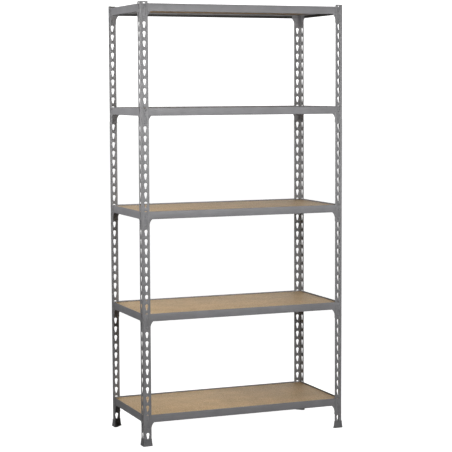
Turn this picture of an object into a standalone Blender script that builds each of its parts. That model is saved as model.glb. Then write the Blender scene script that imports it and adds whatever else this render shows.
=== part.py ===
"""Boltless steel shelving: four perforated angle posts on plastic feet, and five levels of four hooked
beams each, with a loose chipboard board lying inside every level.

The rack stands on the floor at z = 0, centred on the Z axis. +X is along its width and -Y is its front.
Lengths are in metres. Each kind of piece is modelled once, and its copies share that mesh: a post and a
foot about the outer corner of a post, and a beam about the middle of the rack's face that it lies in.
"""

import math

import bmesh
import bpy

MM = 0.001
GAP = 0.3 * MM                  # clearance left wherever two separate pieces meet

# Driving dimensions
RACK_WIDTH = 900 * MM           # over the outer faces of the posts
RACK_DEPTH = 420 * MM
POST_LENGTH = 1800 * MM
POST_BOTTOM = 9 * MM            # the end of a post above the floor
FLANGE = 33 * MM                # width of each flange of the angle post
POST_SHEET = 1.5 * MM

KEYHOLE_PITCH = 38 * MM
KEYHOLE_COUNT = 47
KEYHOLE_HEIGHT = 25.5 * MM
KEYHOLE_WIDE = 13 * MM          # across the upper end, where a stud head goes in
KEYHOLE_CROWN = 7 * MM          # across the very top
KEYHOLE_NARROW = 5.8 * MM       # across the lower end, where a stud shank comes to rest
KEYHOLE_SHOULDER = 5 * MM       # from the top down to the widest place
KEYHOLE_CENTRE = 17 * MM        # from the outer corner of the post
KEYHOLE_MARGIN = 5 * MM         # from the top of the post to the first keyhole

LEVEL_KEYHOLES = (1, 12, 23, 34, 45)    # upper keyhole that each level hooks into, from the top
BEAM_BELOW_KEYHOLE = 3 * MM     # top of a beam under the top of its upper keyhole
BEAM_HEIGHT = 32 * MM
BEAM_SHEET = 1.2 * MM
BEAM_START = 30 * MM            # from the post's outer corner to the end of the beam, behind the flange
LEDGE_DEPTH = 20 * MM           # from the outer face of a beam to the end of its ledge
LEDGE_LIP = 6.7 * MM
BOTTOM_RETURN = 9 * MM

BOARD_THICKNESS = 10 * MM
BOARD_SUNK = 5 * MM             # board top under the beam tops
BOARD_PLAY = 1.3 * MM           # between the board's edge and the beams

PLATE_SHEET = 1.5 * MM
PLATE_HEIGHT = 70 * MM
PLATE_START = 4 * MM            # from the post's outer corner, clear of the other flange's plate
PLATE_SET_BACK = 0.2 * MM       # plate face behind the beam's outer face
PLATE_TOP = 1 * MM              # plate top under the beam's top
PLATE_CORNER = 4 * MM           # cut off the plate's lower corner
GUSSET_REACH = 11 * MM          # how far the plate shows beyond the flange, under the beam
GUSSET_DROP = 23 * MM           # how far down the gusset runs to meet the flange's edge
GUSSET_WAIST = 0.4              # share of reach and drop where its hollowed edge turns

STUD_SHANK = 5.2 * MM
STUD_HEAD = 10 * MM
STUD_FACE = 7 * MM
STUD_HEAD_TALL = 2 * MM
STUD_ROOT = 0.8 * MM            # how deep the shank is set in its plate
STUD_SIDES = 6

FOOT_HEIGHT = 30 * MM
FOOT_SOLE = 4 * MM
FOOT_OVERHANG = 4 * MM          # of the sole beyond the post, all round
FOOT_WALL = 1 * MM
FOOT_FLARE = 2.5 * MM           # how much wider the boot is at the sole than at its top
SOLE_CHAMFER = 3 * MM
SOLE_INNER_CHAMFER = 30 * MM    # at the corner that faces into the rack

# Worked out from the dimensions above
POST_TOP = POST_BOTTOM + POST_LENGTH
BEAM_FACE = POST_SHEET + GAP    # a beam's outer face, in from the rack's outer face
PLATE_FACE = BEAM_FACE + PLATE_SET_BACK
LEDGE_TOP = BOARD_SUNK + BOARD_THICKNESS + GAP          # under the beam's top
BOARD_INSET = BEAM_FACE + 2 * BEAM_SHEET + BOARD_PLAY
STUD_UNDER_KEYHOLE_TOP = KEYHOLE_HEIGHT - KEYHOLE_NARROW / 2

# Corner name, the side it is on along X and along Y, and its quarter turns from front left
CORNERS = (
    ("front_left", -1, -1, 0),
    ("front_right", 1, -1, 1),
    ("rear_right", 1, 1, 2),
    ("rear_left", -1, 1, 3),
)
# Side name, its direction along X and along Y, and its quarter turns from the front
SIDES = (
    ("front", 0, -1, 0),
    ("right", 1, 0, 1),
    ("rear", 0, 1, 2),
    ("left", -1, 0, 3),
)


def keyhole_top(number):
    """Height of the top of a keyhole above the floor, counted from 1 at the top of the post."""
    return POST_TOP - KEYHOLE_MARGIN - (number - 1) * KEYHOLE_PITCH


def material(name, colour, roughness, metallic):
    made = bpy.data.materials.new(name)
    made.use_nodes = True
    shader = made.node_tree.nodes["Principled BSDF"]
    shader.inputs["Base Color"].default_value = (*colour, 1.0)
    shader.inputs["Roughness"].default_value = roughness
    shader.inputs["Metallic"].default_value = metallic
    return made


def loft(shape, rings):
    """Close rings of vertices into one skin: a quad between neighbours and a cap at each end."""
    count = len(rings[0])
    for lower, upper in zip(rings, rings[1:]):
        for i in range(count):
            j = (i + 1) % count
            shape.faces.new((lower[i], lower[j], upper[j], upper[i]))
    shape.faces.new(list(reversed(rings[0])))
    shape.faces.new(rings[-1])


def prism(shape, outline, start, end, place):
    """Raise an outline of two coordinates from start to end: place turns all three into a position."""
    rings = [[shape.verts.new(place(a, b, level)) for a, b in outline] for level in (start, end)]
    loft(shape, rings)


def upright(x, y, height):
    return (x, y, height)


def shape_object(shape, name):
    """An object from a finished bmesh, with its faces turned outward."""
    bmesh.ops.recalc_face_normals(shape, faces=shape.faces)
    mesh = bpy.data.meshes.new(name)
    shape.to_mesh(mesh)
    shape.free()
    made = bpy.data.objects.new(name, mesh)
    bpy.context.scene.collection.objects.link(made)
    return made


def combined(base, steps, name):
    """One mesh from a base object and (operation, object) Boolean steps, which are used up."""
    for operation, other in steps:
        step = base.modifiers.new(operation.lower(), "BOOLEAN")
        step.operation = operation
        step.object = other
    graph = bpy.context.evaluated_depsgraph_get()
    mesh = bpy.data.meshes.new_from_object(base.evaluated_get(graph))
    mesh.name = name
    for used in [base] + [other for _, other in steps]:
        bpy.data.objects.remove(used)
    return mesh


def add_piece(name, mesh, surface, location, quarter_turns=0):
    if not mesh.materials:
        mesh.materials.append(surface)
    piece = bpy.data.objects.new(name, mesh)
    piece.location = location
    piece.rotation_euler = (0, 0, quarter_turns * math.pi / 2)
    bpy.context.scene.collection.objects.link(piece)
    return piece


def angle_outline(outside, width, inside):
    """L-shaped outline around a corner: its outer faces, the ends of its legs and its inner faces."""
    return (
        (outside, outside),
        (width, outside),
        (width, inside),
        (inside, inside),
        (inside, width),
        (outside, width),
    )


def keyhole_outline(top):
    """Keyhole, wide near the top and tapering to the stud's seat: (along the flange, height)."""
    half_outline = (
        (KEYHOLE_CROWN / 2, top),
        (KEYHOLE_WIDE / 2, top - KEYHOLE_SHOULDER),
        (KEYHOLE_NARROW / 2, top - KEYHOLE_HEIGHT),
    )
    right = [(KEYHOLE_CENTRE + across, height) for across, height in half_outline]
    left = [(KEYHOLE_CENTRE - across, height) for across, height in reversed(half_outline)]
    return right + left


def post_mesh():
    """Angle post with a column of keyholes through each flange, about its outer corner."""
    angle = bmesh.new()
    prism(angle, angle_outline(0, FLANGE, POST_SHEET), POST_BOTTOM, POST_TOP, upright)

    overshoot = 2 * MM
    holes = bmesh.new()
    for number in range(1, KEYHOLE_COUNT + 1):
        outline = keyhole_outline(keyhole_top(number))
        for place in (
            lambda along, height, inward: (along, inward, height),
            lambda along, height, inward: (inward, along, height),
        ):
            prism(holes, outline, -overshoot, POST_SHEET + overshoot, place)
    steps = [("DIFFERENCE", shape_object(holes, "keyholes"))]
    return combined(shape_object(angle, "angle"), steps, "post")


def sole_outline():
    low = -FOOT_OVERHANG
    high = FLANGE + FOOT_OVERHANG
    return (
        (low + SOLE_CHAMFER, low),
        (high - SOLE_CHAMFER, low),
        (high, low + SOLE_CHAMFER),
        (high, high - SOLE_INNER_CHAMFER),
        (high - SOLE_INNER_CHAMFER, high),
        (low + SOLE_CHAMFER, high),
        (low, high - SOLE_CHAMFER),
        (low, low + SOLE_CHAMFER),
    )


def foot_mesh():
    """Moulded foot: a sole cut off across its inner corner, and a flared boot with a slot for the post."""
    sole = bmesh.new()
    prism(sole, sole_outline(), 0, FOOT_SOLE, upright)

    outside = -GAP - FOOT_WALL
    width = FLANGE + GAP + FOOT_WALL
    inside = POST_SHEET + GAP + FOOT_WALL
    boot = bmesh.new()
    skirt = angle_outline(outside - FOOT_FLARE, width + FOOT_FLARE, inside + FOOT_FLARE)
    collar = angle_outline(outside, width, inside)
    loft(boot, [
        [boot.verts.new((x, y, FOOT_SOLE / 2)) for x, y in skirt],
        [boot.verts.new((x, y, FOOT_HEIGHT)) for x, y in collar],
    ])

    slot = bmesh.new()
    slot_outline = angle_outline(-GAP, FLANGE + GAP, POST_SHEET + GAP)
    prism(slot, slot_outline, POST_BOTTOM - GAP, FOOT_HEIGHT + FOOT_SOLE, upright)

    steps = [
        ("UNION", shape_object(boot, "boot")),
        ("DIFFERENCE", shape_object(slot, "slot")),
    ]
    return combined(shape_object(sole, "sole"), steps, "foot")


def beam_section():
    """Folded section of a beam: (in from its outer face, height over its top).

    The face is doubled behind the board's edge, folds in as the ledge under the board, and ends in a
    lip. The bottom of the face has a short return.
    """
    lip_inside = LEDGE_DEPTH - BEAM_SHEET
    return (
        (0, 0),
        (0, -BEAM_HEIGHT),
        (BOTTOM_RETURN, -BEAM_HEIGHT),
        (BOTTOM_RETURN, BEAM_SHEET - BEAM_HEIGHT),
        (BEAM_SHEET, BEAM_SHEET - BEAM_HEIGHT),
        (BEAM_SHEET, -LEDGE_TOP - BEAM_SHEET),
        (lip_inside, -LEDGE_TOP - BEAM_SHEET),
        (lip_inside, -LEDGE_TOP - LEDGE_LIP),
        (LEDGE_DEPTH, -LEDGE_TOP - LEDGE_LIP),
        (LEDGE_DEPTH, -LEDGE_TOP),
        (2 * BEAM_SHEET, -LEDGE_TOP),
        (2 * BEAM_SHEET, 0),
    )


def plate_outline():
    """End plate with its gusset under the beam: (from the post's outer corner, height over the beam)."""
    edge = FLANGE + GAP
    tip = edge + GUSSET_REACH
    gusset_top = -BEAM_HEIGHT - BEAM_SHEET
    return (
        (PLATE_START, -PLATE_TOP),
        (tip, -PLATE_TOP),
        (tip, gusset_top),
        (edge + GUSSET_WAIST * GUSSET_REACH, gusset_top - GUSSET_WAIST * GUSSET_DROP),
        (edge, gusset_top - GUSSET_DROP),
        (edge, PLATE_CORNER - PLATE_HEIGHT),
        (edge - PLATE_CORNER, -PLATE_HEIGHT),
        (PLATE_START, -PLATE_HEIGHT),
    )


def stud_heights():
    """Heights of a beam end's two studs over the beam's top."""
    upper = BEAM_BELOW_KEYHOLE - STUD_UNDER_KEYHOLE_TOP
    return (upper, upper - KEYHOLE_PITCH)


def beam_mesh(length, name):
    """Beam with an end plate welded to each end and two headed studs in each plate.

    It lies along X, centred, with the rack's outer face at y = 0 and the beam's top at z = 0. Each end
    is measured inward from the outer corner of its post, which is half the rack's length away.
    """
    reach = length / 2
    profile = bmesh.new()
    prism(
        profile,
        beam_section(),
        BEAM_START - reach,
        reach - BEAM_START,
        lambda inward, height, along: (along, BEAM_FACE + inward, height),
    )

    plates = bmesh.new()
    studs = bmesh.new()
    stud_sections = (
        (STUD_SHANK / 2, PLATE_FACE + STUD_ROOT),
        (STUD_SHANK / 2, -GAP),
        (STUD_HEAD / 2, -GAP),
        (STUD_FACE / 2, -GAP - STUD_HEAD_TALL),
    )
    for end in (-1, 1):
        prism(
            plates,
            plate_outline(),
            PLATE_FACE,
            PLATE_FACE + PLATE_SHEET,
            lambda from_corner, height, inward: (end * (reach - from_corner), inward, height),
        )
        stud_x = end * (reach - KEYHOLE_CENTRE)
        for stud_z in stud_heights():
            rings = []
            for radius, inward in stud_sections:
                ring = []
                for step in range(STUD_SIDES):
                    angle = math.tau * step / STUD_SIDES
                    offset = (radius * math.cos(angle), radius * math.sin(angle))
                    ring.append(studs.verts.new((stud_x + offset[0], inward, stud_z + offset[1])))
                rings.append(ring)
            loft(studs, rings)
    steps = [
        ("UNION", shape_object(plates, "plates")),
        ("UNION", shape_object(studs, "studs")),
    ]
    return combined(shape_object(profile, "profile"), steps, name)


def board_mesh():
    """Rectangular chipboard board, about its own centre."""
    solid = bmesh.new()
    bmesh.ops.create_cube(solid, size=1)
    size = (RACK_WIDTH - 2 * BOARD_INSET, RACK_DEPTH - 2 * BOARD_INSET, BOARD_THICKNESS)
    bmesh.ops.scale(solid, vec=size, verts=solid.verts)
    mesh = bpy.data.meshes.new("board")
    solid.to_mesh(mesh)
    solid.free()
    return mesh


def main():
    for old in list(bpy.data.objects):
        bpy.data.objects.remove(old)

    post_paint = material("post_paint", (0.27, 0.27, 0.28), 0.45, 0.0)
    beam_paint = material("beam_paint", (0.24, 0.24, 0.25), 0.45, 0.0)
    chipboard = material("chipboard", (0.42, 0.31, 0.19), 0.8, 0.0)
    plastic = material("foot_plastic", (0.17, 0.17, 0.175), 0.6, 0.0)

    post = post_mesh()
    foot = foot_mesh()
    for corner, side_x, side_y, turns in CORNERS:
        outer_corner = (side_x * RACK_WIDTH / 2, side_y * RACK_DEPTH / 2, 0)
        add_piece(f"post_{corner}", post, post_paint, outer_corner, turns)
        add_piece(f"foot_{corner}", foot, plastic, outer_corner, turns)

    long_beam = beam_mesh(RACK_WIDTH, "long_beam")
    short_beam = beam_mesh(RACK_DEPTH, "short_beam")
    board = board_mesh()
    for level, upper_keyhole in enumerate(LEVEL_KEYHOLES, start=1):
        top = keyhole_top(upper_keyhole) - BEAM_BELOW_KEYHOLE
        for side, along_x, along_y, turns in SIDES:
            beam = short_beam if along_x else long_beam
            middle = (along_x * RACK_WIDTH / 2, along_y * RACK_DEPTH / 2, top)
            add_piece(f"beam_{side}_{level}", beam, beam_paint, middle, turns)
        board_centre = (0, 0, top - BOARD_SUNK - BOARD_THICKNESS / 2)
        add_piece(f"board_{level}", board, chipboard, board_centre)


main()
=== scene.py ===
"""Looks of the boltless steel rack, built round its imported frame.

The thin steel and the feet are made again with true folds, rounded rims, round studs and moulded
corners, and the boards with worn edges. Each kind of piece is modelled once, in the same local frame as
its CAD solid: a post and a foot about the outer corner of a post, and a beam about the middle of the
rack's face, at the height of its top. Copies are turned in quarters about the Z axis and laid in place.
Lengths are in metres.
"""

import math

import bmesh
import bpy
from mathutils import Matrix, Vector


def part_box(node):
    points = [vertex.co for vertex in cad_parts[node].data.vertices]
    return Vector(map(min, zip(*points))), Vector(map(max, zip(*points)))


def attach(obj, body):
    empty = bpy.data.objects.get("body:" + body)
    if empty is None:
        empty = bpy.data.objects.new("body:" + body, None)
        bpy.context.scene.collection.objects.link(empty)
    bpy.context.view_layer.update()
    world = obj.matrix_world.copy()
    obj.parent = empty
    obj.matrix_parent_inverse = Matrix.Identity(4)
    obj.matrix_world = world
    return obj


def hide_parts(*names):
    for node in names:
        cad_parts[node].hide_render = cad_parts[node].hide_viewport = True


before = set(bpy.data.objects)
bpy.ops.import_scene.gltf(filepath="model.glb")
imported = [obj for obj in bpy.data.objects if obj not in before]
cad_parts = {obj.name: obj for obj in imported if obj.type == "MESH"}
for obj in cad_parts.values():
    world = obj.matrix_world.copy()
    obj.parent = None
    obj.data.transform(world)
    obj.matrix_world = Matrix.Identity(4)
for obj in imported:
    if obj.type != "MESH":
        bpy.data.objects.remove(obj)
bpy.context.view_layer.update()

MM = 0.001

# Sizes that the frame gives
POST_LOW, POST_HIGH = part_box("post_front_left")
FLANGE = POST_HIGH.x - POST_LOW.x
RACK_HALF_WIDTH = -POST_LOW.x
RACK_HALF_DEPTH = -POST_LOW.y
FOOT_LOW, FOOT_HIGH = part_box("foot_front_left")
SOLE_LOW = FOOT_LOW.x - POST_LOW.x
SOLE_HIGH = FOOT_HIGH.x - POST_LOW.x

GAP = 0.3 * MM                  # clearance left wherever two separate pieces meet

# Sheet metal
POST_SHEET = 1.5 * MM
POST_BEND = 4.5 * MM            # outer radius of the post's corner
BEND_STEPS = 12
RIM = 0.25 * MM                 # rounding of a sheared edge
KEYHOLE_PITCH = 38 * MM
KEYHOLE_COUNT = 47
KEYHOLE_HEIGHT = 25.5 * MM
KEYHOLE_WIDE = 13 * MM
KEYHOLE_NARROW = 5.8 * MM
KEYHOLE_CENTRE = 17 * MM        # from the outer corner of the post
KEYHOLE_MARGIN = 5 * MM         # from the top of the post to the first keyhole

BEAM_FACE = POST_SHEET + GAP    # in from the rack's outer face
BEAM_SHEET = 1.2 * MM
BEAM_HEIGHT = 32 * MM
BEAM_START = 30 * MM            # from the post's outer corner to the end of the beam
LEDGE_TOP = 15.3 * MM           # under the beam's top
LEDGE_DEPTH = 20 * MM
LEDGE_LIP = 6.7 * MM
BOTTOM_RETURN = 9 * MM

PLATE_FACE = BEAM_FACE + 0.2 * MM
PLATE_SHEET = 1.5 * MM
PLATE_HEIGHT = 70 * MM
PLATE_START = 4 * MM
PLATE_TOP = 1 * MM              # under the beam's top
GUSSET_REACH = 11 * MM          # how far the plate shows beyond the flange, under the beam
GUSSET_DROP = 23 * MM           # how far down the gusset runs to meet the flange's edge
GUSSET_PULL = (2 * MM, 7 * MM)  # where its hollow edge is drawn to, from the flange and under the beam

UPPER_STUD = 19.6 * MM          # under the beam's top
STUD_SHANK_RADIUS = 2.6 * MM
STUD_HEAD_RADIUS = 4.95 * MM
STUD_SIDES = 28

FOOT_SOLE = 4 * MM
SOLE_CHAMFER = 3 * MM
SOLE_INNER_CHAMFER = 30 * MM    # at the corner that faces into the rack
FOOT_WALL = 1 * MM
FOOT_FLARE = 2.5 * MM           # how much wider the boot is at the sole than at its top

# Studio
BACKDROP_MIDDLE = (0.4, 0.9, 0.1)           # direction from the rack
BACKDROP_FALLOFF = 6
BACKDROP_LIGHT = 1.42
ROOM_LIGHT = 0.015
FLOOR_GLOW = 1.0
# Name of each softbox, its place, what it is aimed at, its side, its power in watts and its spread
SOFTBOXES = (
    ("front", (0.0, -2.7, 1.5), (0, 0, 1.2), 1.1, 27, 140),
    ("front_right", (1.14, -2.45, 1.5), (0, 0, 1.2), 1.1, 6, 140),
    ("left", (-2.64, -0.56, 1.5), (0, 0, 1.2), 1.1, 6.6, 140),
    ("near_left", (-1.75, 0.0, 1.5), (-0.1, 0, 1.35), 0.6, 11, 140),
    ("above", (0.0, 0.0, 3.3), (0, 0, 1.8), 1.1, 3.4, 60),
    ("right", (2.64, 0.2, 1.6), (0, 0, 1.1), 1.1, 5, 140),
)
CAMERA_PLACE = (-2.382, -5.906, 1.455)
CAMERA_TURN = -21.97            # degrees, from looking along +Y
CAMERA_TIP = -5.22
CAMERA_ROLL = -0.26
CAMERA_LENS = 118.88            # mm, on a sensor 36 mm wide

LEVELS = range(1, 6)
# Corner name, the side it is on along X and along Y, and its quarter turns from front left
CORNERS = (
    ("front_left", -1, -1, 0),
    ("front_right", 1, -1, 1),
    ("rear_right", 1, 1, 2),
    ("rear_left", -1, 1, 3),
)
# Side name, its direction along X and along Y, and its quarter turns from the front
SIDES = (
    ("front", 0, -1, 0),
    ("right", 1, 0, 1),
    ("rear", 0, 1, 2),
    ("left", -1, 0, 3),
)


# --- outlines --------------------------------------------------------------------------------------

def arc(centre, radius, start, end, steps):
    """Points along an arc, its angles in degrees."""
    points = []
    for step in range(steps + 1):
        angle = math.radians(start + (end - start) * step / steps)
        points.append((centre[0] + radius * math.cos(angle), centre[1] + radius * math.sin(angle)))
    return points


def rounded(corners, steps=4):
    """Outline through corners given as (x, y, radius), each turned with an arc of that radius."""
    outline = []
    for i, (x, y, radius) in enumerate(corners):
        here = Vector((x, y))
        before = Vector(corners[i - 1][:2]) - here
        after = Vector(corners[(i + 1) % len(corners)][:2]) - here
        if radius <= 0:
            outline.append((x, y))
            continue
        half_angle = before.angle(after) / 2
        reach = radius / math.tan(half_angle)
        middle = (before.normalized() + after.normalized()).normalized()
        centre = here + middle * (radius / math.sin(half_angle))
        first = here + before.normalized() * reach - centre
        last = here + after.normalized() * reach - centre
        turn = first.angle_signed(last)
        for step in range(steps + 1):
            spoke = first.copy()
            spoke.rotate(Matrix.Rotation(-turn * step / steps, 2))
            outline.append(tuple(centre + spoke))
    return outline


def keyhole(centre, top):
    """Teardrop opening: a wide round top and a narrow round seat, joined by two tangents."""
    wide = KEYHOLE_WIDE / 2
    narrow = KEYHOLE_NARROW / 2
    apart = KEYHOLE_HEIGHT - wide - narrow
    tilt = math.degrees(math.asin((wide - narrow) / apart))
    upper = arc((centre, top - wide), wide, -tilt, 180 + tilt, 16)
    lower = arc((centre, top - wide - apart), narrow, 180 + tilt, 360 - tilt, 8)
    return upper + lower


# --- meshes ----------------------------------------------------------------------------------------

def finished(shape, name, smooth_under=35):
    """A mesh from a bmesh: faces outward, smooth where neighbours meet at a small angle."""
    bmesh.ops.recalc_face_normals(shape, faces=shape.faces)
    mesh = bpy.data.meshes.new(name)
    shape.to_mesh(mesh)
    shape.free()
    mesh.shade_smooth()
    mesh.set_sharp_from_angle(angle=math.radians(smooth_under))
    return mesh


def filled(outlines):
    """A flat bmesh at z = 0 inside the first outline and outside the others."""
    shape = bmesh.new()
    edges = []
    for outline in outlines:
        ring = [shape.verts.new((a, b, 0)) for a, b in outline]
        edges += [shape.edges.new((ring[i - 1], ring[i])) for i in range(len(ring))]
    bmesh.ops.triangle_fill(shape, use_beauty=True, use_dissolve=False, edges=edges, normal=(0, 0, 1))
    return shape


def raise_faces(shape, distance):
    """Draw the faces of a flat bmesh up along z into a solid."""
    made = bmesh.ops.extrude_face_region(shape, geom=list(shape.faces))["geom"]
    raised = [part for part in made if isinstance(part, bmesh.types.BMVert)]
    bmesh.ops.translate(shape, vec=(0, 0, distance), verts=raised)


def thicken(shape, thickness, rim):
    """Give a flat bmesh a thickness along z and round its sheared rims, which the layer "rim" marks."""
    worn = shape.faces.layers.float.new("rim")
    raise_faces(shape, thickness)
    bmesh.ops.recalc_face_normals(shape, faces=shape.faces)
    walls = [face for face in shape.faces if abs(face.normal.z) < 0.5]
    for face in walls:
        face[worn] = 1.0
    corners = [
        edge for edge in shape.edges
        if len(edge.link_faces) == 2 and abs(edge.verts[0].co.z - edge.verts[1].co.z) < rim
        and edge.calc_face_angle() > math.radians(60)
    ]
    made = bmesh.ops.bevel(shape, geom=corners, offset=rim, segments=2, profile=0.5, affect="EDGES")
    for face in made["faces"]:
        face[worn] = 1.0


def bend_post(shape):
    """Fold a flat blank into the post's angle. Its x runs across the blank from the fold, and its z is
    the depth under the outer face."""
    half_arc = math.pi / 4 * POST_BEND
    for vert in shape.verts:
        across, height, depth = vert.co
        if abs(across) >= half_arc:
            along = POST_BEND + abs(across) - half_arc
            place = (along, depth) if across > 0 else (depth, along)
        else:
            angle = math.radians(-135) + across / half_arc * math.pi / 4
            radius = POST_BEND - depth
            place = (POST_BEND + radius * math.cos(angle), POST_BEND + radius * math.sin(angle))
        vert.co = (place[0], place[1], height)


def post_mesh():
    """Folded angle post with a column of keyholes through each flange."""
    half_arc = math.pi / 4 * POST_BEND
    unfolded = half_arc - POST_BEND     # added to a length along a flange, gives it on the blank
    edge = FLANGE + unfolded
    low, high = POST_LOW.z, POST_HIGH.z
    outlines = [[(-edge, low), (edge, low), (edge, high), (-edge, high)]]
    for number in range(KEYHOLE_COUNT):
        top = high - KEYHOLE_MARGIN - number * KEYHOLE_PITCH
        for side in (-1, 1):
            outlines.append(keyhole(side * (KEYHOLE_CENTRE + unfolded), top))
    shape = filled(outlines)

    # Lines of vertices for the fold, and one just outside it on each side, which keeps the flanges flat
    folds = [-half_arc + 2 * half_arc * step / BEND_STEPS for step in range(BEND_STEPS + 1)]
    for across in [-half_arc - 2 * RIM] + folds + [half_arc + 2 * RIM]:
        bmesh.ops.bisect_plane(
            shape, geom=list(shape.verts) + list(shape.edges) + list(shape.faces), dist=1e-7,
            plane_co=(across, 0, 0), plane_no=(1, 0, 0))
    thicken(shape, POST_SHEET, RIM)
    bend_post(shape)
    return finished(shape, "post")


def beam_section():
    """Roll-formed section: (in from the beam's outer face, height over its top, radius of the corner)."""
    outside, inside, cut = 1.7 * MM, 0.7 * MM, 0.25 * MM
    hem = 2 * BEAM_SHEET
    lip_inside = LEDGE_DEPTH - BEAM_SHEET
    return rounded([
        (0, 0, 1.15 * MM),
        (0, -BEAM_HEIGHT, outside),
        (BOTTOM_RETURN, -BEAM_HEIGHT, cut),
        (BOTTOM_RETURN, BEAM_SHEET - BEAM_HEIGHT, cut),
        (BEAM_SHEET, BEAM_SHEET - BEAM_HEIGHT, inside),
        (BEAM_SHEET, -LEDGE_TOP - BEAM_SHEET, inside),
        (lip_inside, -LEDGE_TOP - BEAM_SHEET, inside),
        (lip_inside, -LEDGE_TOP - LEDGE_LIP, cut),
        (LEDGE_DEPTH, -LEDGE_TOP - LEDGE_LIP, cut),
        (LEDGE_DEPTH, -LEDGE_TOP, outside),
        (hem, -LEDGE_TOP, inside),
        (hem, 0, 1.15 * MM),
    ])


def beam_mesh(length):
    """The folded profile of a beam, between the flanges of its two posts. The layer "rim" marks its sawn
    ends, and "back" the inner side of the strip under the ledge, which gets near-black painted shade."""
    reach = length / 2 - BEAM_START
    shape = filled([beam_section()])
    worn = shape.faces.layers.float.new("rim")
    for face in shape.faces:
        face[worn] = 1.0
    raise_faces(shape, 2 * reach)
    for vert in shape.verts:
        inward, height, along = vert.co
        vert.co = (along - reach, BEAM_FACE + inward, height)
    # Painted shade: the inner strip under the ledge is marked 'back', and the paint colours it near-black
    back = shape.faces.layers.float.new("back")
    nearly_sheet = 0.9 * BEAM_SHEET
    for face in shape.faces:
        if abs(face.normal.z) < 0.5:
            face[worn] = 0.0
        middle = face.calc_center_median()
        inward, height = middle.y - BEAM_FACE, middle.z
        within = nearly_sheet < inward < LEDGE_DEPTH - nearly_sheet
        if within and 1 * MM - BEAM_HEIGHT < height < -LEDGE_TOP - nearly_sheet:
            face[back] = 1.0
    return finished(shape, "beam")


def plate_outline():
    """End plate with its hollowed gusset: (from the post's outer corner, height over the beam's top)."""
    edge = FLANGE + GAP
    tip = edge + GUSSET_REACH
    gusset_top = -BEAM_HEIGHT - BEAM_SHEET
    start = Vector((tip, gusset_top))
    pull = Vector((edge + GUSSET_PULL[0], gusset_top - GUSSET_PULL[1]))
    end = Vector((edge, gusset_top - GUSSET_DROP))
    hollow = []
    for step in range(11):
        share = step / 10
        hollow.append(tuple((1 - share) ** 2 * start + 2 * share * (1 - share) * pull + share ** 2 * end))
    lower = rounded([
        (edge, -PLATE_HEIGHT, 4 * MM),
        (PLATE_START, -PLATE_HEIGHT, 3 * MM),
        (PLATE_START, -PLATE_TOP, 2 * MM),
        (tip, -PLATE_TOP, 0),
    ])
    return hollow + lower


def plates_mesh(length):
    """The two end plates of a beam."""
    shape = bmesh.new()
    for end in (-1, 1):
        flat = filled([[(end * (length / 2 - across), height) for across, height in plate_outline()]])
        thicken(flat, PLATE_SHEET, RIM)
        for vert in flat.verts:
            across, height, depth = vert.co
            vert.co = (across, PLATE_FACE + depth, height)
        half = bpy.data.meshes.new("half")
        flat.to_mesh(half)
        flat.free()
        shape.from_mesh(half)
        bpy.data.meshes.remove(half)
    return finished(shape, "plates")


def stud_profile():
    """Radius and depth under the rack's outer face along a stud: tail, shank and low domed head."""
    tail = PLATE_FACE + PLATE_SHEET
    shank = STUD_SHANK_RADIUS
    profile = [
        (0, tail + 1.1 * MM), (2.6 * MM, tail + 1.0 * MM), (3.6 * MM, tail + 0.5 * MM),
        (3.8 * MM, tail - 0.2 * MM), (shank, tail - 0.2 * MM), (shank, -GAP),
        (STUD_HEAD_RADIUS - 0.2 * MM, -GAP),
    ]
    crown = 1.75 * MM
    for step in range(7):
        angle = math.radians(90 * step / 6)
        radius = STUD_HEAD_RADIUS - crown * (1 - math.cos(angle))
        profile.append((radius, -0.75 * MM - 1.5 * MM * math.sin(angle)))
    profile.append((0, -2.27 * MM))
    return profile


def studs_mesh(length):
    """The four studs of a beam, two in each end plate."""
    shape = bmesh.new()
    for end in (-1, 1):
        for under_top in (UPPER_STUD, UPPER_STUD + KEYHOLE_PITCH):
            middle = Vector((end * (length / 2 - KEYHOLE_CENTRE), 0, -under_top))
            rings = []
            for radius, depth in stud_profile():
                if radius == 0:
                    rings.append([shape.verts.new(middle + Vector((0, depth, 0)))])
                    continue
                ring = []
                for step in range(STUD_SIDES):
                    angle = math.tau * step / STUD_SIDES
                    ring.append(shape.verts.new(
                        middle + Vector((radius * math.cos(angle), depth, radius * math.sin(angle)))))
                rings.append(ring)
            for ring, following in zip(rings, rings[1:]):
                for i in range(STUD_SIDES):
                    j = (i + 1) % STUD_SIDES
                    corners = [ring[i % len(ring)], ring[j % len(ring)]]
                    corners += [following[j % len(following)], following[i % len(following)]]
                    shape.faces.new(list(dict.fromkeys(corners)))   # a triangle at the stud's two tips
    return finished(shape, "studs", 50)


def angle_outline(outside, width, inside, outer_radius, inner_radius):
    """L-shaped outline of a boot wall, about the post's outer corner, with rounded corners."""
    end = 0.8 * MM
    return rounded([
        (outside, outside, outer_radius),
        (width, outside, end),
        (width, inside, end),
        (inside, inside, inner_radius),
        (inside, width, end),
        (outside, width, end),
    ])


def object_of(shape, name):
    """An object in the scene from a bmesh."""
    bmesh.ops.recalc_face_normals(shape, faces=shape.faces)
    mesh = bpy.data.meshes.new(name)
    shape.to_mesh(mesh)
    shape.free()
    made = bpy.data.objects.new(name, mesh)
    bpy.context.scene.collection.objects.link(made)
    return made


def lofted(rings):
    """A closed bmesh through rings of equally many points."""
    shape = bmesh.new()
    rows = [[shape.verts.new(point) for point in ring] for ring in rings]
    count = len(rows[0])
    for lower, upper in zip(rows, rows[1:]):
        for i in range(count):
            j = (i + 1) % count
            shape.faces.new((lower[i], lower[j], upper[j], upper[i]))
    shape.faces.new(list(reversed(rows[0])))
    shape.faces.new(rows[-1])
    return shape


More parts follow.
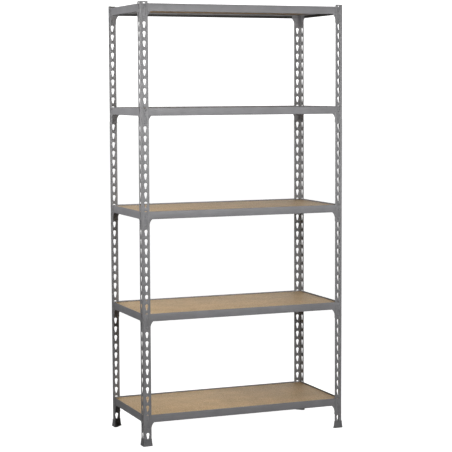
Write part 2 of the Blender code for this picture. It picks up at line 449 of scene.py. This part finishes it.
def foot_mesh():
    """Moulded foot: a rounded sole, cut off across its inner corner, and a boot that flares out into it,
    with a slot for the post."""
    low, high = SOLE_LOW + SOLE_CHAMFER, SOLE_HIGH - SOLE_CHAMFER
    inner = SOLE_HIGH - SOLE_INNER_CHAMFER
    corners = (
        (low, SOLE_LOW), (high, SOLE_LOW), (SOLE_HIGH, low), (SOLE_HIGH, inner),
        (inner, SOLE_HIGH), (low, SOLE_HIGH), (SOLE_LOW, high), (SOLE_LOW, low),
    )
    outline = rounded([(x, y, 1.2 * MM) for x, y in corners])
    centre = Vector((1, 1)) * (SOLE_LOW + SOLE_HIGH) / 2
    sole_rings = []
    for inset, height in ((0.9, 0), (0.3, 0.25), (0, 0.9), (0, 3.1), (0.25, 3.75), (0.9, 4)):
        share = 1 - inset * MM / (SOLE_HIGH - centre.x)
        ring = [centre + (Vector(point) - centre) * share for point in outline]
        sole_rings.append([(point.x, point.y, height * MM) for point in ring])
    sole = object_of(lofted(sole_rings), "sole")

    outside = -GAP - FOOT_WALL
    width = FLANGE + GAP + FOOT_WALL
    inside = POST_SHEET + GAP + FOOT_WALL
    top = FOOT_HIGH.z
    boot_rings = []
    for step in range(13):
        share = step / 12
        height = FOOT_SOLE / 2 + (top - 0.5 * MM - FOOT_SOLE / 2) * share
        flare = FOOT_FLARE * (1 - share) ** 1.7
        outline = angle_outline(outside - flare, width + flare, inside + flare, 2.2 * MM, 2 * MM)
        boot_rings.append([(x, y, height) for x, y in outline])
    for inset, height in ((0.15, top - 0.15 * MM), (0.5, top)):
        outline = angle_outline(
            outside + inset * MM, width - inset * MM, inside - inset * MM, 1.8 * MM, 2 * MM)
        boot_rings.append([(x, y, height) for x, y in outline])
    boot = object_of(lofted(boot_rings), "boot")

    slot_outline = rounded([
        (-GAP, -GAP, POST_BEND - 0.2 * MM), (FLANGE + GAP, -GAP, 0), (FLANGE + GAP, POST_SHEET + GAP, 0),
        (POST_SHEET + GAP, POST_SHEET + GAP, POST_BEND - POST_SHEET), (POST_SHEET + GAP, FLANGE + GAP, 0),
        (-GAP, FLANGE + GAP, 0),
    ])
    slot_rings = [[(x, y, z) for x, y in slot_outline] for z in (POST_LOW.z - GAP, top + FOOT_SOLE)]
    slot = object_of(lofted(slot_rings), "slot")

    for operation, other in (("UNION", boot), ("DIFFERENCE", slot)):
        step = sole.modifiers.new(operation.lower(), "BOOLEAN")
        step.operation = operation
        step.object = other
    graph = bpy.context.evaluated_depsgraph_get()
    mesh = bpy.data.meshes.new_from_object(sole.evaluated_get(graph))
    for used in (sole, boot, slot):
        bpy.data.objects.remove(used)
    mesh.shade_smooth()
    mesh.set_sharp_from_angle(angle=math.radians(38))
    return mesh


def board_mesh(node):
    """Board the size of its CAD solid, its edges broken with sandpaper, in place."""
    low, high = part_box(node)
    shape = bmesh.new()
    bmesh.ops.create_cube(shape, size=1)
    bmesh.ops.scale(shape, vec=high - low, verts=shape.verts)
    bmesh.ops.translate(shape, vec=(low + high) / 2, verts=shape.verts)
    bmesh.ops.bevel(shape, geom=list(shape.edges), offset=0.7 * MM, segments=3, profile=0.6, affect="EDGES")
    return finished(shape, node + "_mesh", 50)


# --- materials -------------------------------------------------------------------------------------

class Nodes:
    """Short ways to add nodes to one material."""

    def __init__(self, name):
        self.material = bpy.data.materials.new(name)
        self.material.use_nodes = True
        self.tree = self.material.node_tree
        self.shader = self.tree.nodes["Principled BSDF"]

    def set(self, socket, value):
        """Link a socket to another, or give it a value."""
        if isinstance(value, bpy.types.NodeSocket):
            self.tree.links.new(value, socket)
        elif value is not None:
            socket.default_value = value

    def add(self, kind, **inputs):
        made = self.tree.nodes.new("ShaderNode" + kind)
        for name, value in inputs.items():
            self.set(made.inputs[name.replace("_", " ")], value)
        return made

    def sum(self, operation, first, second):
        """One step of arithmetic."""
        made = self.tree.nodes.new("ShaderNodeMath")
        made.operation = operation
        for socket, value in zip(made.inputs, (first, second)):
            self.set(socket, value)
        return made.outputs[0]

    def product(self, first, second):
        return self.sum("MULTIPLY", first, second)

    def blend(self, share, first, second, how="MIX"):
        """Colours mixed by share."""
        made = self.tree.nodes.new("ShaderNodeMix")
        made.data_type = "RGBA"
        made.blend_type = how
        for index, value in ((0, share), (6, first), (7, second)):
            self.set(made.inputs[index], value)
        return made.outputs[2]

    def shaded(self, colour, tone):
        """A colour made lighter or darker by a tone near 1."""
        grey = self.add("CombineColor", Red=tone, Green=tone, Blue=tone).outputs[0]
        return self.blend(1, colour, grey, "MULTIPLY")

    def facing_up(self):
        """1 on what faces up, 0 on what is upright, -1 on what faces down."""
        normal = self.add("NewGeometry").outputs["Normal"]
        return self.add("SeparateXYZ", Vector=normal).outputs["Z"]

    def marked(self, layer):
        """The share that a layer of the mesh gives."""
        made = self.add("Attribute")
        made.attribute_name = layer
        return made.outputs["Fac"]

    def remap(self, value, low, high, to_low, to_high):
        """A value taken from one range to another, smoothly and no further."""
        made = self.tree.nodes.new("ShaderNodeMapRange")
        made.interpolation_type = "SMOOTHSTEP"
        for socket, number in zip(made.inputs, (value, low, high, to_low, to_high)):
            self.set(socket, number)
        return made.outputs[0]

    def place(self, scale=(1, 1, 1), turn=0):
        """The piece's own coordinates in metres, turned about Z in degrees and then scaled."""
        coordinates = self.add("TexCoord").outputs["Object"]
        mapping = self.add("Mapping", Vector=coordinates, Rotation=(0, 0, math.radians(turn)))
        mapping.vector_type = "TEXTURE"
        mapping.inputs["Scale"].default_value = [1 / size for size in scale]
        return mapping.outputs[0]

    def noise(self, scale, detail=3, stretch=(1, 1, 1)):
        return self.add(
            "TexNoise", Vector=self.place(stretch), Scale=scale, Detail=detail).outputs["Fac"]

    def bump(self, height, distance, strength, under=None):
        return self.add(
            "Bump", Height=height, Distance=distance, Strength=strength, Normal=under).outputs[0]


def painted_steel(name, colour, streak):
    """Satin stoved paint: faint mottling, drawn streaks along the piece, orange peel, sheared rims where
    the paint is thin, and near-black painted shade on the inner strip under a beam's ledge."""
    nodes = Nodes(name)
    worn_colour = (0.36, 0.355, 0.35, 1)
    mottled = nodes.remap(nodes.noise(14, 4), 0.3, 0.7, 0.93, 1.06)
    streaks = nodes.remap(nodes.noise(260, 2, streak), 0.35, 0.65, 0.975, 1.025)
    specks = nodes.remap(nodes.noise(900, 2), 0.70, 0.76, 0, 0.25)
    tone = nodes.product(mottled, streaks)
    base = nodes.shaded((*colour, 1), tone)
    base = nodes.blend(specks, base, (0.12, 0.12, 0.12, 1))

    scuffs = nodes.remap(nodes.noise(120, 4), 0.42, 0.62, 0, 1)
    wear = nodes.product(nodes.product(nodes.marked("rim"), scuffs), 0.55)
    base = nodes.blend(wear, base, worn_colour)
    # Painted shade: near-black on the faces marked 'back', the inner strip under a beam's ledge
    base = nodes.blend(nodes.marked("back"), base, (0.022, 0.022, 0.019, 1))

    # A thin film of dust on what faces up
    flat = nodes.remap(nodes.facing_up(), 0.55, 0.95, 0, 1)
    dust = nodes.product(flat, nodes.remap(nodes.noise(60, 4), 0.3, 0.7, 0.10, 0.32))
    base = nodes.blend(dust, base, (0.42, 0.40, 0.37, 1))
    nodes.set(nodes.shader.inputs["Base Color"], base)

    satin = nodes.remap(nodes.noise(35, 4), 0.3, 0.7, 0.40, 0.50)
    roughness = nodes.sum("ADD", satin, nodes.product(dust, 0.5))
    roughness = nodes.sum("SUBTRACT", roughness, nodes.product(wear, 0.12))
    nodes.set(nodes.shader.inputs["Roughness"], roughness)
    nodes.set(nodes.shader.inputs["Metallic"], nodes.product(wear, 0.35))
    waves = nodes.bump(nodes.noise(9, 1), 0.4 * MM, 0.35)
    peel = nodes.bump(nodes.noise(650, 2), 0.05 * MM, 0.5, waves)
    nodes.set(nodes.shader.inputs["Normal"], peel)
    nodes.shader.inputs["Specular IOR Level"].default_value = 0.5
    return nodes.material


def chipboard(name):
    """Sanded chipboard: flat flakes of several tones, lying every way, and a coarser darker core that
    shows at the sawn edges."""
    nodes = Nodes(name)
    flakes = []
    heights = []
    for turn, length, width in ((12, 5.5, 1.9), (74, 4.2, 1.6), (131, 6.5, 2.3)):
        cells = nodes.add(
            "TexVoronoi", Vector=nodes.place((1 / (length * MM), 1 / (width * MM), 1 / (0.9 * MM)), turn),
            Scale=1, Randomness=1)
        flakes.append(nodes.add("SeparateColor", Color=cells.outputs["Color"]).outputs[0])
        heights.append(cells.outputs["Distance"])
    first_patch = nodes.remap(nodes.noise(230, 3), 0.47, 0.53, 0, 1)
    second_patch = nodes.remap(nodes.noise(310, 3, (1, 1.1, 1)), 0.52, 0.57, 0, 1)

    def over(lower, upper, patch):
        covered = nodes.product(upper, patch)
        return nodes.sum("ADD", covered, nodes.product(lower, nodes.sum("SUBTRACT", 1, patch)))

    def layered(values):
        return over(over(values[0], values[1], first_patch), values[2], second_patch)

    flake = layered(flakes)
    ramp = nodes.add("ValToRGB", Fac=flake)
    stops = ((0.0, (0.40, 0.245, 0.115)), (0.10, (0.53, 0.348, 0.168)), (0.45, (0.64, 0.440, 0.225)),
             (0.80, (0.71, 0.505, 0.275)), (1.0, (0.79, 0.595, 0.345)))
    while len(ramp.color_ramp.elements) < len(stops):
        ramp.color_ramp.elements.new(0.5)
    for element, (position, colour) in zip(ramp.color_ramp.elements, stops):
        element.position = position
        element.color = (*colour, 1)
    blotches = nodes.remap(nodes.noise(11, 4), 0.3, 0.7, 0.92, 1.07)
    grain = nodes.remap(nodes.noise(1400, 2), 0.3, 0.7, 0.94, 1.05)
    board = nodes.shaded(ramp.outputs[0], nodes.product(blotches, grain))

    sawn = nodes.remap(nodes.sum("ABSOLUTE", nodes.facing_up(), 0), 0.25, 0.75, 1, 0)
    pits = nodes.remap(layered(heights), 0.55, 0.95, 0, 0.8)
    coarse = nodes.blend(1, board, (0.80, 0.74, 0.68, 1), "MULTIPLY")
    core = nodes.blend(pits, coarse, (0.16, 0.10, 0.055, 1))
    nodes.set(nodes.shader.inputs["Base Color"], nodes.blend(sawn, board, core))
    nodes.set(nodes.shader.inputs["Roughness"], nodes.remap(flake, 0, 1, 0.66, 0.54))
    surface = nodes.bump(flake, 0.05 * MM, 0.5)
    edges = nodes.bump(layered(heights), 0.25 * MM, nodes.product(sawn, 0.7), surface)
    nodes.set(nodes.shader.inputs["Normal"], edges)
    return nodes.material


def moulded_plastic(name, colour):
    """Grey moulded polypropylene with a fine spark-eroded texture and scuffs near the floor."""
    nodes = Nodes(name)
    mottled = nodes.remap(nodes.noise(40, 3), 0.3, 0.7, 0.92, 1.06)
    base = nodes.shaded((*colour, 1), mottled)
    height = nodes.add("SeparateXYZ", Vector=nodes.place()).outputs["Z"]
    near_floor = nodes.remap(height, 1 * MM, 8 * MM, 1, 0)
    scuffed = nodes.product(near_floor, nodes.remap(nodes.noise(320, 4), 0.5, 0.65, 0, 0.5))
    nodes.set(nodes.shader.inputs["Base Color"], nodes.blend(scuffed, base, (0.33, 0.32, 0.31, 1)))
    nodes.set(nodes.shader.inputs["Roughness"], nodes.remap(nodes.noise(90, 3), 0.3, 0.7, 0.48, 0.62))
    nodes.set(nodes.shader.inputs["Normal"], nodes.bump(nodes.noise(1900, 2), 0.06 * MM, 0.6))
    return nodes.material


# --- pieces ----------------------------------------------------------------------------------------

def add_piece(name, mesh, material, body, location=(0, 0, 0), quarter_turns=0):
    """A piece with its own copy of the mesh, in place, so that its pattern is its own."""
    own = mesh.copy()
    own.name = name
    own.transform(Matrix.Translation(location) @ Matrix.Rotation(quarter_turns * math.pi / 2, 4, "Z"))
    own.materials.clear()
    own.materials.append(material)
    piece = bpy.data.objects.new(name, own)
    bpy.context.scene.collection.objects.link(piece)
    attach(piece, body)
    return piece


def add_rack():
    """Every piece of the rack, each level's four beams and its board together."""
    post_paint = painted_steel("post_paint", (0.225, 0.222, 0.228), (1, 1, 0.02))
    beam_paint = painted_steel("beam_paint", (0.222, 0.219, 0.228), (0.02, 0.02, 1))
    plastic = moulded_plastic("foot_plastic", (0.155, 0.155, 0.160))
    wood = chipboard("chipboard")

    post, foot = post_mesh(), foot_mesh()
    for corner, side_x, side_y, turns in CORNERS:
        outer_corner = (side_x * RACK_HALF_WIDTH, side_y * RACK_HALF_DEPTH, 0)
        upright = add_piece(
            f"upright_{corner}", post, post_paint, "frame", outer_corner, turns)
        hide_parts(f"post_{corner}")
        boot = add_piece(f"boot_{corner}", foot, plastic, "frame", outer_corner, turns)
        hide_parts(f"foot_{corner}")

    beam_parts = {}
    for length in (2 * RACK_HALF_WIDTH, 2 * RACK_HALF_DEPTH):
        beam_parts[length] = (beam_mesh(length), plates_mesh(length), studs_mesh(length))
    for level in LEVELS:
        beam_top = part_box(f"beam_front_{level}")[1].z
        for side, along_x, along_y, turns in SIDES:
            beam, plates, studs = beam_parts[2 * (RACK_HALF_DEPTH if along_x else RACK_HALF_WIDTH)]
            middle = (along_x * RACK_HALF_WIDTH, along_y * RACK_HALF_DEPTH, beam_top)
            label = f"{side}_{level}"
            profile = add_piece(f"profile_{label}", beam, beam_paint, "frame", middle, turns)
            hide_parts(f"beam_{label}")
            add_piece(f"end_plates_{label}", plates, beam_paint, "frame", middle, turns)
            add_piece(f"studs_{label}", studs, beam_paint, "frame", middle, turns)
        node = f"board_{level}"
        board = add_piece(f"shelf_{level}", board_mesh(node), wood, node)
        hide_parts(node)


# --- studio ----------------------------------------------------------------------------------------

def add_floor():
    """A wide pale floor. It looks almost white, and what it sends back up is less."""
    shape = bmesh.new()
    bmesh.ops.create_grid(shape, x_segments=1, y_segments=1, size=60)
    floor = object_of(shape, "floor")
    nodes = Nodes("floor")
    nodes.shader.inputs["Base Color"].default_value = (0.4, 0.4, 0.4, 1)
    nodes.shader.inputs["Roughness"].default_value = 1
    nodes.shader.inputs["Specular IOR Level"].default_value = 0
    nodes.shader.inputs["Emission Color"].default_value = (1, 1, 1, 1)
    seen = nodes.add("LightPath").outputs["Is Camera Ray"]
    nodes.set(nodes.shader.inputs["Emission Strength"], nodes.product(seen, FLOOR_GLOW))
    floor.data.materials.append(nodes.material)


def add_world():
    """White all round to look at. As light it is a broad bright patch of backdrop, behind and right."""
    world = bpy.data.worlds.new("studio")
    world.use_nodes = True
    bpy.context.scene.world = world
    tree = world.node_tree
    background = tree.nodes["Background"]

    def math_node(operation, *values):
        made = tree.nodes.new("ShaderNodeMath")
        made.operation = operation
        for socket, value in zip(made.inputs, values):
            if isinstance(value, bpy.types.NodeSocket):
                tree.links.new(value, socket)
            else:
                socket.default_value = value
        return made.outputs[0]

    facing = tree.nodes.new("ShaderNodeVectorMath")
    facing.operation = "DOT_PRODUCT"
    tree.links.new(tree.nodes.new("ShaderNodeTexCoord").outputs["Generated"], facing.inputs[0])
    facing.inputs[1].default_value = Vector(BACKDROP_MIDDLE).normalized()
    patch = math_node("POWER", math_node("MAXIMUM", facing.outputs["Value"], 0.0), BACKDROP_FALLOFF)
    light = math_node("MULTIPLY_ADD", patch, BACKDROP_LIGHT, ROOM_LIGHT)
    seen = tree.nodes.new("ShaderNodeLightPath").outputs["Is Camera Ray"]
    strength = math_node("MAXIMUM", math_node("MULTIPLY", seen, 1.05), light)
    tree.links.new(strength, background.inputs["Strength"])
    background.inputs["Color"].default_value = (1, 1, 1, 1)


def add_softbox(name, place, aim, size, power, spread):
    """A square lamp. Its spread is in degrees."""
    lamp = bpy.data.lights.new(name, "AREA")
    lamp.shape = "SQUARE"
    lamp.size = size
    lamp.energy = power
    lamp.spread = math.radians(spread)
    made = bpy.data.objects.new(name, lamp)
    made.location = place
    made.rotation_euler = (Vector(aim) - Vector(place)).to_track_quat("-Z", "Y").to_euler()
    bpy.context.scene.collection.objects.link(made)


def add_camera():
    """From the front and left, at eye height, with a long lens."""
    camera = bpy.data.cameras.new("camera")
    camera.sensor_width = 36
    camera.lens = CAMERA_LENS
    made = bpy.data.objects.new("camera", camera)
    made.location = CAMERA_PLACE
    turned = Matrix.Rotation(math.radians(CAMERA_TURN), 4, "Z")
    tipped = Matrix.Rotation(math.radians(90 + CAMERA_TIP), 4, "X")
    rolled = Matrix.Rotation(math.radians(CAMERA_ROLL), 4, "Z")
    made.rotation_euler = (turned @ tipped @ rolled).to_euler()
    bpy.context.scene.collection.objects.link(made)
    bpy.context.scene.camera = made


add_rack()
add_floor()
add_world()
for softbox in SOFTBOXES:
    add_softbox(*softbox)
add_camera()
bpy.context.scene.view_settings.view_transform = "Standard"
